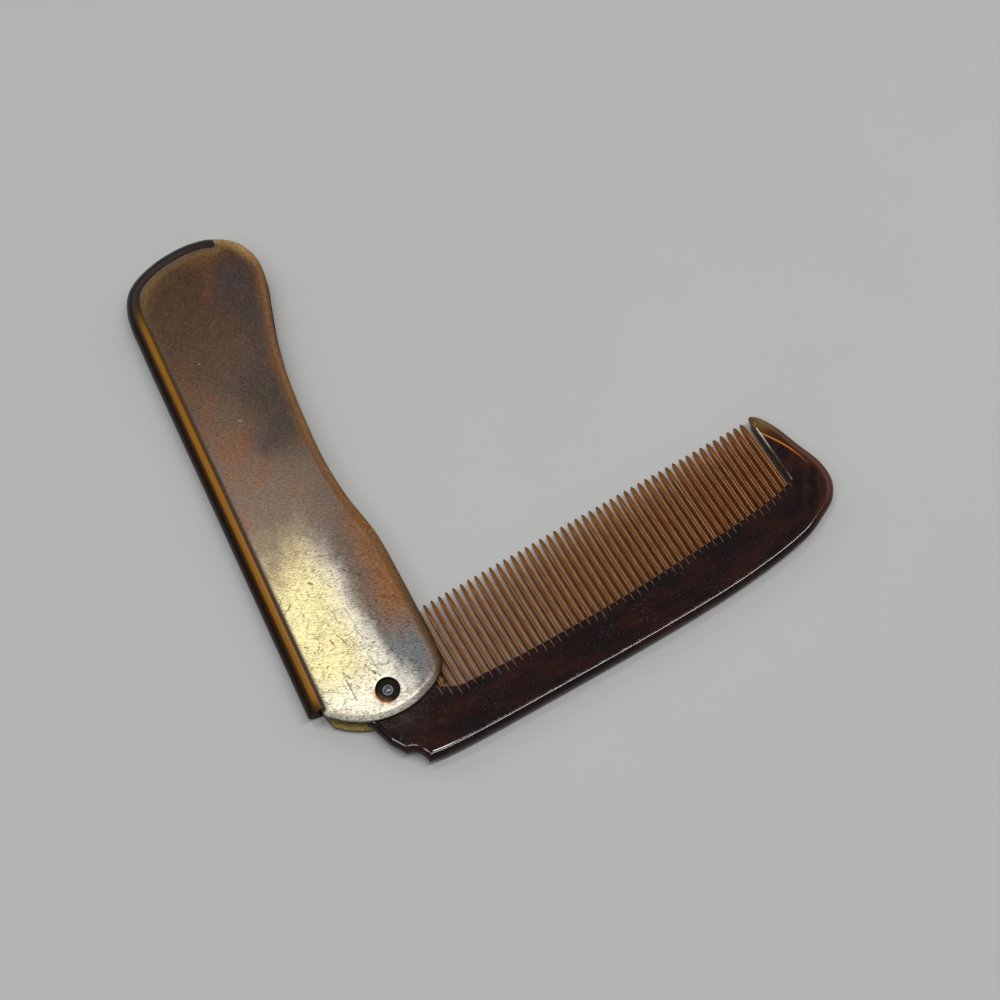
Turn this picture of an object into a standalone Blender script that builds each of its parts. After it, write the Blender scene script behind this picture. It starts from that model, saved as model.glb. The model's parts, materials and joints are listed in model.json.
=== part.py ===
"""A folding pocket comb, half open: its case, the comb that turns in it, and their rivet.

Lengths are in metres. The origin is the middle of the case's underside. +Y runs along the case
to its closed end, +X to its open side, and +Z up. The outlines below are drawn from the rivet's
axis: the case's with x across and y along the case, the comb's with x along the row of teeth and
y from the spine to the tooth tips.
"""
import math

import bmesh
import bpy
from mathutils import Vector

MM = 0.001
CLEARANCE = 0.3 * MM

# The case: two plates, a slot and a half-round spine
CASE_THICKNESS = 6.2 * MM
SLOT_HEIGHT = 3.6 * MM
PLATE_EDGE_RADIUS = 1.7 * MM
SPINE_RADIUS = 3.0 * MM
SPINE_WALL = 2.2 * MM
FOOT_CENTRE = Vector((0.0, 11.7)) * MM
FRONT_FOOT_RADIUS = 16.5 * MM
BACK_FOOT_RADIUS = 17.35 * MM

# The comb
COMB_THICKNESS = SLOT_HEIGHT - 2 * CLEARANCE
COMB_EDGE_RADIUS = 1.0 * MM
COMB_REST_TURN = math.radians(4.75)
TANG_RADIUS = 7.15 * MM
TOOTH_COUNT = 49
TOOTH_PITCH = 1.6 * MM
TOOTH_WIDTH = 0.74 * MM
FIRST_TOOTH = 9.11 * MM
TOOTH_ROOT_THICKNESS = 2.4 * MM
TOOTH_TIP_LINE = 11.4 * MM
TOOTH_SUNK = 1.5 * MM
GUARD_INNER_EDGE = 87.6 * MM

# The rivet and its holes
PIVOT = Vector((1.2, -49.0, 0.0)) * MM
PIN_RADIUS = 0.7 * MM
PIN_HOLE_RADIUS = PIN_RADIUS + 0.25 * MM
HEAD_RADIUS = 1.15 * MM
HEAD_HEIGHT = 0.4 * MM
COUNTERBORE_RADIUS = 2.2 * MM
COUNTERBORE_DEPTH = 0.8 * MM

# Smoothness
CURVE_STEPS = 5
ROUND_SIDES = 32

# Middle line of the case's spine, from the rivet end to the notch: x, y in millimetres
SPINE_LINE = (
    (-12.35, 2.6),
    (-12.5, 44.0),
    (-12.7, 86.0),
    (-12.4, 92.6),
    (-10.7, 96.6),
    (-5.6, 99.3),
    (0.2, 100.3),
    (4.4, 99.6),
    (5.75, 98.95),
)

# Corner of the plates at the notch, then their free edge to the rivet end: x, y in millimetres
NOTCH_CORNER = (6.95, 101.65)
FREE_EDGE = (
    (8.9, 100.7),
    (11.3, 98.4),
    (13.2, 94.0),
    (13.3, 89.4),
    (12.1, 84.4),
    (10.0, 76.0),
    (8.5, 66.0),
    (7.85, 54.0),
    (7.9, 46.0),
    (8.8, 38.0),
    (10.7, 29.0),
    (11.3, 20.0),
    (11.7, 4.0),
    (11.3, 0.4),
)

# Right-hand corner of the front plate at the rivet end: x, y in millimetres
FRONT_CORNER = (
    (11.2, -0.1),
    (11.9, 1.6),
)

# Roots of the teeth, from the tang to the guard tooth: x, y in millimetres
ROOT_LINE = (
    (8.2, -4.0),
    (12.7, -5.8),
    (41.7, -6.9),
    (70.5, -5.95),
    (83.5, -4.8),
    (GUARD_INNER_EDGE / MM, -3.5),
)

# Guard tooth, nose and spine of the comb, from the guard's root to the stop: x, y in millimetres
GUARD_TOOTH = (
    (GUARD_INNER_EDGE / MM, -3.5),
    (GUARD_INNER_EDGE / MM, 10.3),
)
NOSE_AND_SPINE = (
    (GUARD_INNER_EDGE / MM, 10.3),
    (88.2, 11.8),
    (89.8, 10.6),
    (91.6, 7.2),
    (93.3, 1.8),
    (94.8, -3.0),
    (94.7, -7.3),
    (92.6, -10.6),
    (89.1, -12.6),
    (84.0, -14.6),
    (74.0, -16.1),
    (62.0, -16.8),
    (45.0, -16.85),
    (25.0, -16.45),
    (12.0, -16.1),
    (4.0, -15.6),
    (0.2, -15.0),
)

# Stop notch, then the edge of the tang back towards the rivet: x, y in millimetres
STOP_NOTCH = (
    (0.2, -15.0),
    (-0.2, -13.4),
    (-1.2, -12.1),
    (-2.7, -11.5),
)
TANG_EDGE = (
    (-2.7, -11.5),
    (-4.5, -8.5),
)


def material(name, colour, roughness, metallic):
    """A Principled material with the piece's own colour, roughness and metallic value."""
    made = bpy.data.materials.new(name)
    made.use_nodes = True
    shader = made.node_tree.nodes["Principled BSDF"]
    shader.inputs["Base Color"].default_value = (*colour, 1.0)
    shader.inputs["Roughness"].default_value = roughness
    shader.inputs["Metallic"].default_value = metallic
    return made


def in_metres(table):
    """The points of a table that is written in millimetres."""
    return [Vector(point) * MM for point in table]


def smooth_run(points, steps=CURVE_STEPS):
    """A smooth run through points: cubic pieces, each slope taken from the two neighbours."""
    ends = [2 * points[0] - points[1], *points, 2 * points[-1] - points[-2]]
    run = []
    for before, start, end, after in zip(ends, ends[1:], ends[2:], ends[3:]):
        span = (end - start).length
        slope_start = (end - before) * span / ((end - start).length + (start - before).length)
        slope_end = (after - start) * span / ((end - start).length + (after - end).length)
        for step in range(steps):
            t = step / steps
            run.append(
                start * (2 * t**3 - 3 * t**2 + 1)
                + slope_start * (t**3 - 2 * t**2 + t)
                + end * (3 * t**2 - 2 * t**3)
                + slope_end * (t**3 - t**2)
            )
    return run + [points[-1]]


def arc(centre, radius, start, end, steps):
    """Points on an arc between two angles in degrees."""
    angles = [math.radians(start + (end - start) * i / steps) for i in range(steps + 1)]
    return [centre + radius * Vector((math.cos(a), math.sin(a))) for a in angles]


def beside(points, distance):
    """The line that runs beside a line of points, to its left by a distance."""
    moved = []
    for i, point in enumerate(points):
        along = points[min(i + 1, len(points) - 1)] - points[max(i - 1, 0)]
        moved.append(point + distance * Vector((-along.y, along.x)).normalized())
    return moved


def joined(*runs):
    """Runs put end to end, without the point that two of them share."""
    points = []
    for run in runs:
        points += [p for p in run if not points or (p - points[-1]).length > 0.05 * MM]
    if (points[0] - points[-1]).length < 0.05 * MM:
        points.pop()
    return points


def as_mesh(name, curve):
    """A curve turned into one closed mesh, whose object takes the curve's place."""
    source = bpy.data.objects.new(name + "_curve", curve)
    bpy.context.scene.collection.objects.link(source)
    evaluated = source.evaluated_get(bpy.context.evaluated_depsgraph_get())
    mesh = bpy.data.meshes.new_from_object(evaluated)
    bpy.data.objects.remove(source)
    cage = bmesh.new()
    cage.from_mesh(mesh)
    bmesh.ops.remove_doubles(cage, verts=cage.verts, dist=0.002 * MM)
    bmesh.ops.recalc_face_normals(cage, faces=cage.faces)
    cage.to_mesh(mesh)
    cage.free()
    return bpy.data.objects.new(name, mesh)


def flat_piece(name, outline, thickness, edge_radius=0.0):
    """A flat outline with thickness about z = 0, its edges rounded by a radius."""
    curve = bpy.data.curves.new(name, "CURVE")
    curve.dimensions = "2D"
    curve.fill_mode = "BOTH"
    curve.extrude = thickness / 2 - edge_radius
    curve.bevel_depth = edge_radius
    curve.bevel_resolution = 2
    curve.offset = -edge_radius
    spline = curve.splines.new("POLY")
    spline.points.add(len(outline) - 1)
    for slot, point in zip(spline.points, outline):
        slot.co = (point.x, point.y, 0.0, 1.0)
    spline.use_cyclic_u = True
    return as_mesh(name, curve)


def round_bar(name, path, radius):
    """A round bar along a flat path, with flat ends."""
    curve = bpy.data.curves.new(name, "CURVE")
    curve.dimensions = "3D"
    curve.bevel_depth = radius
    curve.bevel_resolution = 6
    curve.use_fill_caps = True
    spline = curve.splines.new("POLY")
    spline.points.add(len(path) - 1)
    for slot, point in zip(spline.points, path):
        slot.co = (point.x, point.y, 0.0, 1.0)
    return as_mesh(name, curve)


def cylinder(name, radius, low, high):
    """A cylinder on the rivet's axis between two heights."""
    cage = bmesh.new()
    bmesh.ops.create_cone(
        cage, cap_ends=True, segments=ROUND_SIDES, radius1=radius, radius2=radius, depth=high - low
    )
    bmesh.ops.translate(cage, verts=cage.verts, vec=(0.0, 0.0, (low + high) / 2))
    mesh = bpy.data.meshes.new(name)
    cage.to_mesh(mesh)
    cage.free()
    return bpy.data.objects.new(name, mesh)


def place(piece, collection, parent, finish=None):
    """Put a piece in its collection, under its parent and with its material."""
    collection.objects.link(piece)
    piece.parent = parent
    if finish is not None:
        piece.data.materials.clear()
        piece.data.materials.append(finish)
        piece.data.shade_smooth()
        piece.data.set_sharp_from_angle(angle=math.radians(35))
    return piece


def helper(piece, collection, parent):
    """Put a cutting or joining shape in its collection, drawn as wire and left out of renders."""
    place(piece, collection, parent)
    piece.hide_render = True
    piece.display_type = "WIRE"
    return piece


def combine(piece, other, operation):
    """Join a helper's shape to a piece, or take it away."""
    modifier = piece.modifiers.new(other.name, "BOOLEAN")
    modifier.operation = operation
    modifier.solver = "EXACT"
    modifier.object = other


def make_case(pieces, helpers, pivot, finish):
    """The case: a rounded slab with a bar for its spine, slotted, trimmed and bored."""
    spine_line = smooth_run(in_metres(SPINE_LINE))
    free_edge = smooth_run(in_metres(FREE_EDGE))
    back_foot = arc(FOOT_CENTRE, BACK_FOOT_RADIUS, 309, 226, 12)
    plates = joined(spine_line[CURVE_STEPS:], in_metres([NOTCH_CORNER]), free_edge, back_foot)
    case = place(flat_piece("case", plates, CASE_THICKNESS, PLATE_EDGE_RADIUS), pieces, pivot, finish)
    spine = helper(round_bar("case_spine", spine_line, SPINE_RADIUS), helpers, pivot)
    combine(case, spine, "UNION")

    front_foot = arc(FOOT_CENTRE, FRONT_FOOT_RADIUS, 222, 307, 12)
    outside = in_metres([*FRONT_CORNER, (16.0, 1.6), (16.0, -9.0), (-16.0, -9.0), (-16.0, 0.6)])
    trim = flat_piece("case_front_trim", joined(front_foot, outside), CASE_THICKNESS)
    helper(trim, helpers, pivot).location.z = CASE_THICKNESS / 2
    combine(case, trim, "DIFFERENCE")

    wall = beside(spine_line, SPINE_RADIUS - SPINE_WALL)
    past_notch = wall[-1] + (wall[-1] - spine_line[-1]).normalized() * 6 * MM
    beyond = in_metres([(24.0, 106.0), (24.0, -12.0), (wall[0].x / MM, -12.0)])
    slot_outline = joined(wall[1:], [past_notch], beyond)
    slot = helper(flat_piece("case_slot", slot_outline, SLOT_HEIGHT), helpers, pivot)
    combine(case, slot, "DIFFERENCE")

    half = CASE_THICKNESS / 2
    bores = (
        cylinder("case_pin_hole", PIN_HOLE_RADIUS, -2 * half, 2 * half),
        cylinder("case_counterbore_top", COUNTERBORE_RADIUS, half - COUNTERBORE_DEPTH, 2 * half),
        cylinder("case_counterbore_under", COUNTERBORE_RADIUS, -2 * half, COUNTERBORE_DEPTH - half),
    )
    for bore in bores:
        combine(case, helper(bore, helpers, pivot), "DIFFERENCE")
    return case


def root_height(x, roots):
    """The height of the root line at a place along the row of teeth."""
    for start, end in zip(roots, roots[1:]):
        if start.x <= x <= end.x:
            return start.y + (end.y - start.y) * (x - start.x) / (end.x - start.x)
    return roots[0].y


def make_teeth(roots):
    """The row of teeth as one mesh: each is lofted through four oblong sections to its tip."""
    cage = bmesh.new()
    for number in range(TOOTH_COUNT):
        x = FIRST_TOOTH + number * TOOTH_PITCH
        root = root_height(x, roots)
        length = TOOTH_TIP_LINE - root
        # Height, half width and half thickness of each section
        sections = (
            (root - TOOTH_SUNK, 0.5 * TOOTH_WIDTH, 0.5 * TOOTH_ROOT_THICKNESS),
            (root + 0.45 * length, 0.5 * TOOTH_WIDTH, 0.4 * TOOTH_ROOT_THICKNESS),
            (root + 0.9 * length, 0.38 * TOOTH_WIDTH, 0.24 * TOOTH_ROOT_THICKNESS),
            (root + length, 0.14 * TOOTH_WIDTH, 0.1 * TOOTH_ROOT_THICKNESS),
        )
        rings = []
        for y, w, h in sections:
            corners = ((x - w, y, -h), (x + w, y, -h), (x + w, y, h), (x - w, y, h))
            rings.append([cage.verts.new(corner) for corner in corners])
        for ring, after in zip(rings, rings[1:]):
            for i in range(4):
                j = (i + 1) % 4
                cage.faces.new((ring[i], ring[j], after[j], after[i]))
        cage.faces.new(rings[0])
        cage.faces.new(rings[-1])
    bmesh.ops.recalc_face_normals(cage, faces=cage.faces)
    mesh = bpy.data.meshes.new("comb_teeth")
    cage.to_mesh(mesh)
    cage.free()
    return bpy.data.objects.new("comb_teeth", mesh)


def make_comb(pieces, helpers, pivot, finish):
    """The comb: a rounded flat body with its teeth joined to it and the rivet hole bored."""
    roots = smooth_run(in_metres(ROOT_LINE))
    outline = joined(
        arc(Vector((0.0, 0.0)), TANG_RADIUS, 215, 5, 16),
        roots,
        in_metres(GUARD_TOOTH),
        smooth_run(in_metres(NOSE_AND_SPINE)),
        smooth_run(in_metres(STOP_NOTCH), 2),
        in_metres(TANG_EDGE),
    )
    comb = place(flat_piece("comb", outline, COMB_THICKNESS, COMB_EDGE_RADIUS), pieces, pivot, finish)
    combine(comb, helper(make_teeth(roots), helpers, pivot), "UNION")
    hole = cylinder("comb_pin_hole", PIN_HOLE_RADIUS, -COMB_THICKNESS, COMB_THICKNESS)
    combine(comb, helper(hole, helpers, pivot), "DIFFERENCE")
    return comb


def make_rivet(pieces, pivot, finish):
    """The rivet: a turned pin with a domed head at each end, a little below the case's faces."""
    seat = CASE_THICKNESS / 2 - COUNTERBORE_DEPTH + CLEARANCE
    dome = [
        (HEAD_RADIUS * math.sin(math.radians(a)), seat + HEAD_HEIGHT * math.cos(math.radians(a)))
        for a in range(0, 91, 15)
    ]
    upper = dome + [(PIN_RADIUS, seat)]
    profile = upper + [(radius, -height) for radius, height in reversed(upper)]
    mesh = bpy.data.meshes.new("rivet")
    edges = [(i, i + 1) for i in range(len(profile) - 1)]
    mesh.from_pydata([(radius, 0.0, height) for radius, height in profile], edges, [])
    rivet = place(bpy.data.objects.new("rivet", mesh), pieces, pivot, finish)
    turn = rivet.modifiers.new("turn", "SCREW")
    turn.steps = 24
    turn.render_steps = 24
    turn.use_merge_vertices = True
    turn.merge_threshold = 0.005 * MM
    turn.use_smooth_shade = True
    return rivet


def main():
    """Clear the scene, then build the case, the comb and the rivet."""
    for old in list(bpy.data.objects):
        bpy.data.objects.remove(old)
    pieces = bpy.data.collections.new("folding_comb")
    helpers = bpy.data.collections.new("folding_comb_helpers")
    for collection in (pieces, helpers):
        bpy.context.scene.collection.children.link(collection)

    pivot = bpy.data.objects.new("pivot", None)
    pivot.location = PIVOT + Vector((0.0, 0.0, CASE_THICKNESS / 2))
    comb_turn = bpy.data.objects.new("comb_turn", None)
    comb_turn.parent = pivot
    comb_turn.rotation_euler.z = COMB_REST_TURN
    for empty in (pivot, comb_turn):
        pieces.objects.link(empty)

    amber = material("amber_bronze_plastic", (0.16, 0.10, 0.045), 0.32, 0.35)
    brown = material("dark_brown_plastic", (0.045, 0.018, 0.012), 0.2, 0.0)
    steel = material("dark_steel", (0.12, 0.12, 0.13), 0.25, 1.0)
    make_case(pieces, helpers, pivot, amber)
    make_comb(pieces, helpers, comb_turn, brown)
    make_rivet(pieces, pivot, steel)


main()
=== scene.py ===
"""A folding pocket comb lying half open: its amber case, the dark comb and the rivet between them."""

import json
import math

import bmesh
import bpy
import numpy as np
from mathutils import Matrix, Vector

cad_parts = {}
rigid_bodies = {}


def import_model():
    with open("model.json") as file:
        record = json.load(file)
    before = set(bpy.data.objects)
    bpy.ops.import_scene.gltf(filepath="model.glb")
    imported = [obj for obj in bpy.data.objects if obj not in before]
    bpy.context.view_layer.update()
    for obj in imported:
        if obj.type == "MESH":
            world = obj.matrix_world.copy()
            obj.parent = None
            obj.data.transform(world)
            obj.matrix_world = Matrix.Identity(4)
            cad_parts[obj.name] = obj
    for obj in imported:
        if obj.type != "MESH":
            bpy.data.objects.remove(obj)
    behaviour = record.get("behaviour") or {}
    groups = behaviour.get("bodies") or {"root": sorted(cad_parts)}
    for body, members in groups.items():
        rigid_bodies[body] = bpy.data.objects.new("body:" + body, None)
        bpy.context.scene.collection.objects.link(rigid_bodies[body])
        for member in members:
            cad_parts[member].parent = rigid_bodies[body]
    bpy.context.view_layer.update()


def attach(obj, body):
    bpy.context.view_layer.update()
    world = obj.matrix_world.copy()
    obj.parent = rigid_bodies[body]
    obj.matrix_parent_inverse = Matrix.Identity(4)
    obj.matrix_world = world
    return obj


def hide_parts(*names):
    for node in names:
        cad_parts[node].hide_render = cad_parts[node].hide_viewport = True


for leftover in list(bpy.data.objects):
    bpy.data.objects.remove(leftover)
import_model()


# FRONT AND BACK PLATE OF THE CASE
# The two leaves of one moulding in tortoiseshell plastic, 1.3 mm thick with soft shoulders, joined on
# the straight side. The back one is a little longer at the rivet end. Sizes are in millimetres, from
# the rivet's axis and the case's middle plane.
PIVOT = np.array([1.2, -49.0, 3.1])
PLATE_TOP = 3.1
PLATE_INSIDE = 1.8
SHOULDER = 1.7
SHOULDER_DROP = 1.15
CROWN = 0.08
CROWN_REACH = 9.0
SPINE_LINE = [
    (-12.33, 2.1), (-12.5, 44.0), (-12.7, 86.0), (-12.4, 92.6), (-10.7, 96.6), (-5.6, 99.3),
    (0.2, 100.35), (4.5, 100.0), (6.35, 99.2),
]
NOTCH_CORNER = (7.3, 101.3)
FREE_EDGE = [
    (8.9, 100.5), (11.3, 98.35), (13.2, 94.0), (13.3, 89.4), (12.1, 84.4), (10.0, 76.0), (8.5, 66.0),
    (7.85, 54.0), (7.9, 46.0), (8.8, 38.0), (10.7, 29.0), (11.3, 20.0), (11.7, 4.0), (11.3, 0.4),
]
FOOT_CENTRE = (0.0, 11.7)
FRONT_FOOT = 16.5
BACK_FOOT = 17.35
FAN_LOW = 8.0
FAN_HIGH = 92.0
HOLE_RADIUS = 0.95
BORE_PROFILE = [
    (0.0, 0.9), (HOLE_RADIUS, 0.9), (HOLE_RADIUS, 2.3), (2.12, 2.3), (2.2, 2.38), (2.2, 2.86), (2.24, 2.97),
    (2.33, 3.05), (2.46, 3.11), (2.6, 3.2), (0.0, 3.3),
]
BORE_SHADE_WITHIN = 2.36
BORE_SHADE_BELOW = 3.02
LEVEL = 0.99999


def smooth_run(points, steps):
    """Points on a smooth curve through a table of points. Between a and b, with slopes m and n,
    p(t) = (2t^3 - 3t^2 + 1) a + (t^3 - 2t^2 + t) m + (3t^2 - 2t^3) b + (t^3 - t^2) n."""
    table = np.array(points, float)
    ends = np.vstack([2 * table[0] - table[1], table, 2 * table[-1] - table[-2]])
    length = np.linalg.norm(np.diff(ends, axis=0), axis=1)[:, None]
    a, b = ends[1:-2], ends[2:-1]
    m = (ends[2:-1] - ends[:-3]) * length[1:-1] / (length[1:-1] + length[:-2])
    n = (ends[3:] - ends[1:-2]) * length[1:-1] / (length[1:-1] + length[2:])
    t = (np.arange(steps) / steps)[None, :, None]
    a, b, m, n = (row[:, None, :] for row in (a, b, m, n))
    run = (2 * t**3 - 3 * t**2 + 1) * a + (t**3 - 2 * t**2 + t) * m
    run = run + (3 * t**2 - 2 * t**3) * b + (t**3 - t**2) * n
    return np.vstack([run.reshape(-1, 2), table[-1:]])


def arc(centre, radius, start, end, steps):
    """Points on an arc: centre + radius (cos a, sin a), with a running between two angles in degrees."""
    a = np.radians(np.linspace(start, end, steps + 1))
    return np.array(centre) + radius * np.stack([np.cos(a), np.sin(a)], axis=1)


def lengths(line):
    """The length along a line at each of its points."""
    return np.concatenate([[0], np.cumsum(np.linalg.norm(np.diff(line, axis=0), axis=1))])


def beside(line, distance):
    """The line a distance to the left of another: p + distance (-t_y, t_x), with t its direction."""
    along = np.gradient(line, axis=0)
    along /= np.linalg.norm(along, axis=1)[:, None]
    return line + distance * np.stack([-along[:, 1], along[:, 0]], axis=1)


def distance_to(line, points):
    """Shortest distance from points to a line: |p - a - t (b - a)|, t held between 0 and 1."""
    line, points = line.astype(np.float32), points.astype(np.float32)
    a, ab = line[:-1], np.diff(line, axis=0)
    ap = points[:, None] - a
    t = np.clip((ap * ab).sum(-1) / np.maximum((ab * ab).sum(-1), 1e-9), 0, 1)
    return np.sqrt(((ap - t[..., None] * ab) ** 2).sum(-1)).min(axis=1)


def ring_faces(rows, columns):
    """The numbers of a grid's points, and its faces: face (i, j) joins (i, j), (i, j+1), (i+1, j+1) and
    (i+1, j), and the last column joins the first."""
    index = np.arange(rows * columns).reshape(rows, columns)
    after = np.roll(index, -1, axis=1)
    return index, np.stack([index[:-1], after[:-1], after[1:], index[1:]], axis=-1).reshape(-1, 4)


def skin(name, rings, caps=()):
    """A closed mesh over a grid of points. caps are rows that get one flat face. Equal points are
    merged."""
    index, faces = ring_faces(*rings.shape[:2])
    mesh = bpy.data.meshes.new(name)
    mesh.from_pydata(rings.reshape(-1, 3).tolist(), [], faces.tolist() + [index[r].tolist() for r in caps])
    return tidied(name, mesh)


def tidied(name, mesh, sharp=40):
    """The mesh as an object, its equal points merged and its faces turned outwards. It is shaded
    smooth, apart from edges above an angle and from faces that lie level."""
    cage = bmesh.new()
    cage.from_mesh(mesh)
    bmesh.ops.remove_doubles(cage, verts=cage.verts, dist=1e-7)
    bmesh.ops.recalc_face_normals(cage, faces=cage.faces)
    cage.to_mesh(mesh)
    cage.free()
    mesh.shade_smooth()
    mesh.set_sharp_from_angle(angle=math.radians(sharp))
    normals = np.empty(len(mesh.polygons) * 3)
    mesh.polygons.foreach_get("normal", normals)
    mesh.polygons.foreach_set("use_smooth", np.abs(normals[2::3]) < LEVEL)
    piece = bpy.data.objects.new(name, mesh)
    bpy.context.scene.collection.objects.link(piece)
    return piece


def turned(name, profile, sides):
    """A closed turned shape on the rivet's axis: (r cos a, r sin a, z) for each (r, z) of the profile."""
    a = np.linspace(0, 2 * np.pi, sides, endpoint=False)
    r, z = np.array(profile, float).T[:, :, None]
    return skin(name, in_row(np.stack([r * np.cos(a), r * np.sin(a), z + 0 * a], axis=-1)))


def in_row(points):
    """Millimetres from the rivet's axis and the case's middle plane, as metres in the row's frame."""
    return (points + PIVOT) * 0.001


def cut(piece, cutter):
    """Takes the cutter's shape out of a piece, and leaves the piece one plain mesh."""
    name, taken = piece.name, piece.modifiers.new("cut", "BOOLEAN")
    taken.object, taken.solver = cutter, "EXACT"
    shaped = piece.evaluated_get(bpy.context.evaluated_depsgraph_get())
    mesh = bpy.data.meshes.new_from_object(shaped)
    bpy.data.objects.remove(piece)
    bpy.data.objects.remove(cutter)
    return tidied(name, mesh, 30)


def note(piece, **values):
    """Writes named values for each point of a piece, for its material to read."""
    for name, value in values.items():
        piece.data.attributes.new(name, "FLOAT", "POINT").data.foreach_set("value", value.astype(np.float32))


def flat_place(piece, turn=0.0):
    """Each point's place from the rivet's axis in millimetres, seen from above, unturned by an angle."""
    co = np.empty(len(piece.data.vertices) * 3)
    piece.data.vertices.foreach_get("co", co)
    x, y = (co.reshape(-1, 3) * 1000 - PIVOT)[:, :2].T
    c, s = math.cos(turn), math.sin(turn)
    return np.stack([c * x + s * y, c * y - s * x], axis=1)


spine_line = smooth_run(SPINE_LINE, 24)
free_edge = smooth_run(FREE_EDGE, 10)
plate_back_edge = beside(spine_line, 0.75)
plate_back_edge = plate_back_edge[plate_back_edge[:, 1] > 5.0]


def make_plate(name, foot_radius, foot_ends, side):
    """One leaf of the case. Its outline runs down the free edge, round the foot, up the spine side and
    round the closed end. Rings go from it to a middle line, at height
    z = top - drop (1 - sqrt(1 - (1 - d/shoulder)^2)) - crown (1 - d/reach)^2, d being the distance to
    the edge, and back along the flat inside."""
    foot = arc(FOOT_CENTRE, foot_radius, *foot_ends, 90)
    left_side = smooth_run([foot[-3], foot[-1], (-12.25, 0.5), (-12.7, 2.6), plate_back_edge[0]], 6)[6:]
    right = free_edge[free_edge[:, 1] < FAN_HIGH]
    left = np.vstack([left_side[1:-1], plate_back_edge])
    v = np.linspace(FAN_LOW, FAN_HIGH, 211)
    low_left, low_right = left[left[:, 1] < FAN_LOW], right[right[:, 1] < FAN_LOW]
    up = plate_back_edge[:, 1] > FAN_HIGH
    over = plate_back_edge[up]
    down = np.vstack([[NOTCH_CORNER], free_edge[free_edge[:, 1] > FAN_HIGH]])
    left_u = np.interp(v, left[:np.argmax(left[:, 1]), 1], left[:np.argmax(left[:, 1]), 0])
    right_u = np.interp(v, right[::-1, 1], right[::-1, 0])
    middle = np.stack([(left_u + right_u) / 2, v], axis=1)
    fan_foot = np.vstack([low_right, foot, low_left])
    fan_top = np.vstack([over, down])
    outline = np.vstack([
        np.stack([right_u, v], axis=1)[::-1], fan_foot, np.stack([left_u, v], axis=1), fan_top,
    ])
    heart = np.vstack([
        middle[::-1], np.repeat(middle[:1], len(fan_foot), 0),
        middle, np.repeat(middle[-1:], len(fan_top), 0),
    ])
    rounded = np.vstack([down, right, foot, low_left, plate_back_edge[:-4]])

    reach = np.linalg.norm(heart - outline, axis=1)
    steps = np.array([0, 0.015, 0.06, 0.13, 0.24, 0.38, 0.56, 0.78, 1.05, 1.35, 1.7, 2.1, 2.7, 3.6])
    share = steps[:, None] / reach
    inner = np.array([0.2, 0.45, 0.7, 0.88, 1.0])[:, None]
    share = np.vstack([share, share[-1] + inner * (1 - share[-1])])
    top = outline + share[..., None] * (heart - outline)
    d = distance_to(rounded, top.reshape(-1, 2)).reshape(share.shape)
    fall = 1 - np.sqrt(1 - (1 - np.clip(d / SHOULDER, 0, 1)) ** 2)
    height = PLATE_TOP - SHOULDER_DROP * fall - CROWN * (1 - np.clip(d / CROWN_REACH, 0, 1)) ** 2
    inside = np.stack([0.06 / reach, np.full(len(reach), 0.5), np.ones(len(reach))])
    under = outline + inside[..., None] * (heart - outline)
    shape = np.concatenate([
        np.concatenate([top, height[..., None]], axis=-1)[::-1],
        np.concatenate([under, np.full(under.shape[:2] + (1,), PLATE_INSIDE)], axis=-1),
    ])
    shape[..., 2] *= side
    plate = skin(name, in_row(shape))
    plate = cut(plate, turned("bore", [(r, z * side) for r, z in BORE_PROFILE], 96))
    place = flat_place(plate)
    note(plate, edge=distance_to(rounded, place), spine=distance_to(spine_line, place))
    return plate


front_plate = make_plate("case_front_plate", FRONT_FOOT, (307, 226), 1)
back_plate = make_plate("case_back_plate", BACK_FOOT, (309, 228), -1)


# Its plastic is amber brown, mottled red and blue-black, and worn to a satin bronze sheen. The
# sheen is brushed across the leaf, and its lower third is rubbed, speckled and scratched, and painted
# with a reflection of the key lamp. Painted amber glow and painted shade follow its edges.
def add(tree, kind, sockets=None, **settings):
    """A node with its settings, its sockets given as values or as the outputs that feed them."""
    made = tree.nodes.new("ShaderNode" + kind)
    for name, value in settings.items():
        setattr(made, name, value)
    for name, value in (sockets or {}).items():
        if isinstance(value, bpy.types.NodeSocket):
            tree.links.new(value, made.inputs[name])
        else:
            made.inputs[name].default_value = value
    return made


def maths(tree, operation, a, b=0.0, c=0.0):
    """The result of one Math node."""
    return add(tree, "Math", {0: a, 1: b, 2: c}, operation=operation).outputs[0]


def times(tree, a, b):
    """The product of two values."""
    return maths(tree, "MULTIPLY", a, b)


def vectors(tree, operation, a, b=(0.0, 0.0, 0.0), output="Vector", **sockets):
    """The result of one Vector Math node, a vector unless the output called Value is asked for."""
    return add(tree, "VectorMath", {0: a, 1: b, **sockets}, operation=operation).outputs[output]


def from_axis(tree, u, v):
    """The distance from the rivet's axis, seen from above."""
    return vectors(tree, "LENGTH", add(tree, "CombineXYZ", {"X": u, "Y": v}).outputs[0], output="Value")


def between(tree, value, low, high, out_low=0.0, out_high=1.0):
    """A value eased from out_low to out_high as it goes from low to high."""
    sockets = {"Value": value, "From Min": low, "From Max": high, "To Min": out_low, "To Max": out_high}
    return add(tree, "MapRange", sockets, interpolation_type="SMOOTHSTEP").outputs[0]


def band(tree, value, start, full, last, end):
    """1 while a value is between full and last, eased to 0 at start and at end."""
    return times(tree, between(tree, value, start, full), between(tree, value, end, last))


def blended(tree, share, a, b, how="MIX"):
    """Two colours mixed by a share."""
    mix = add(tree, "Mix", data_type="RGBA", blend_type=how)
    for number, value in ((0, share), (6, a), (7, b)):
        if isinstance(value, bpy.types.NodeSocket):
            tree.links.new(value, mix.inputs[number])
        else:
            mix.inputs[number].default_value = value if number == 0 else (*value, 1.0)
    return mix.outputs[2]


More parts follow.
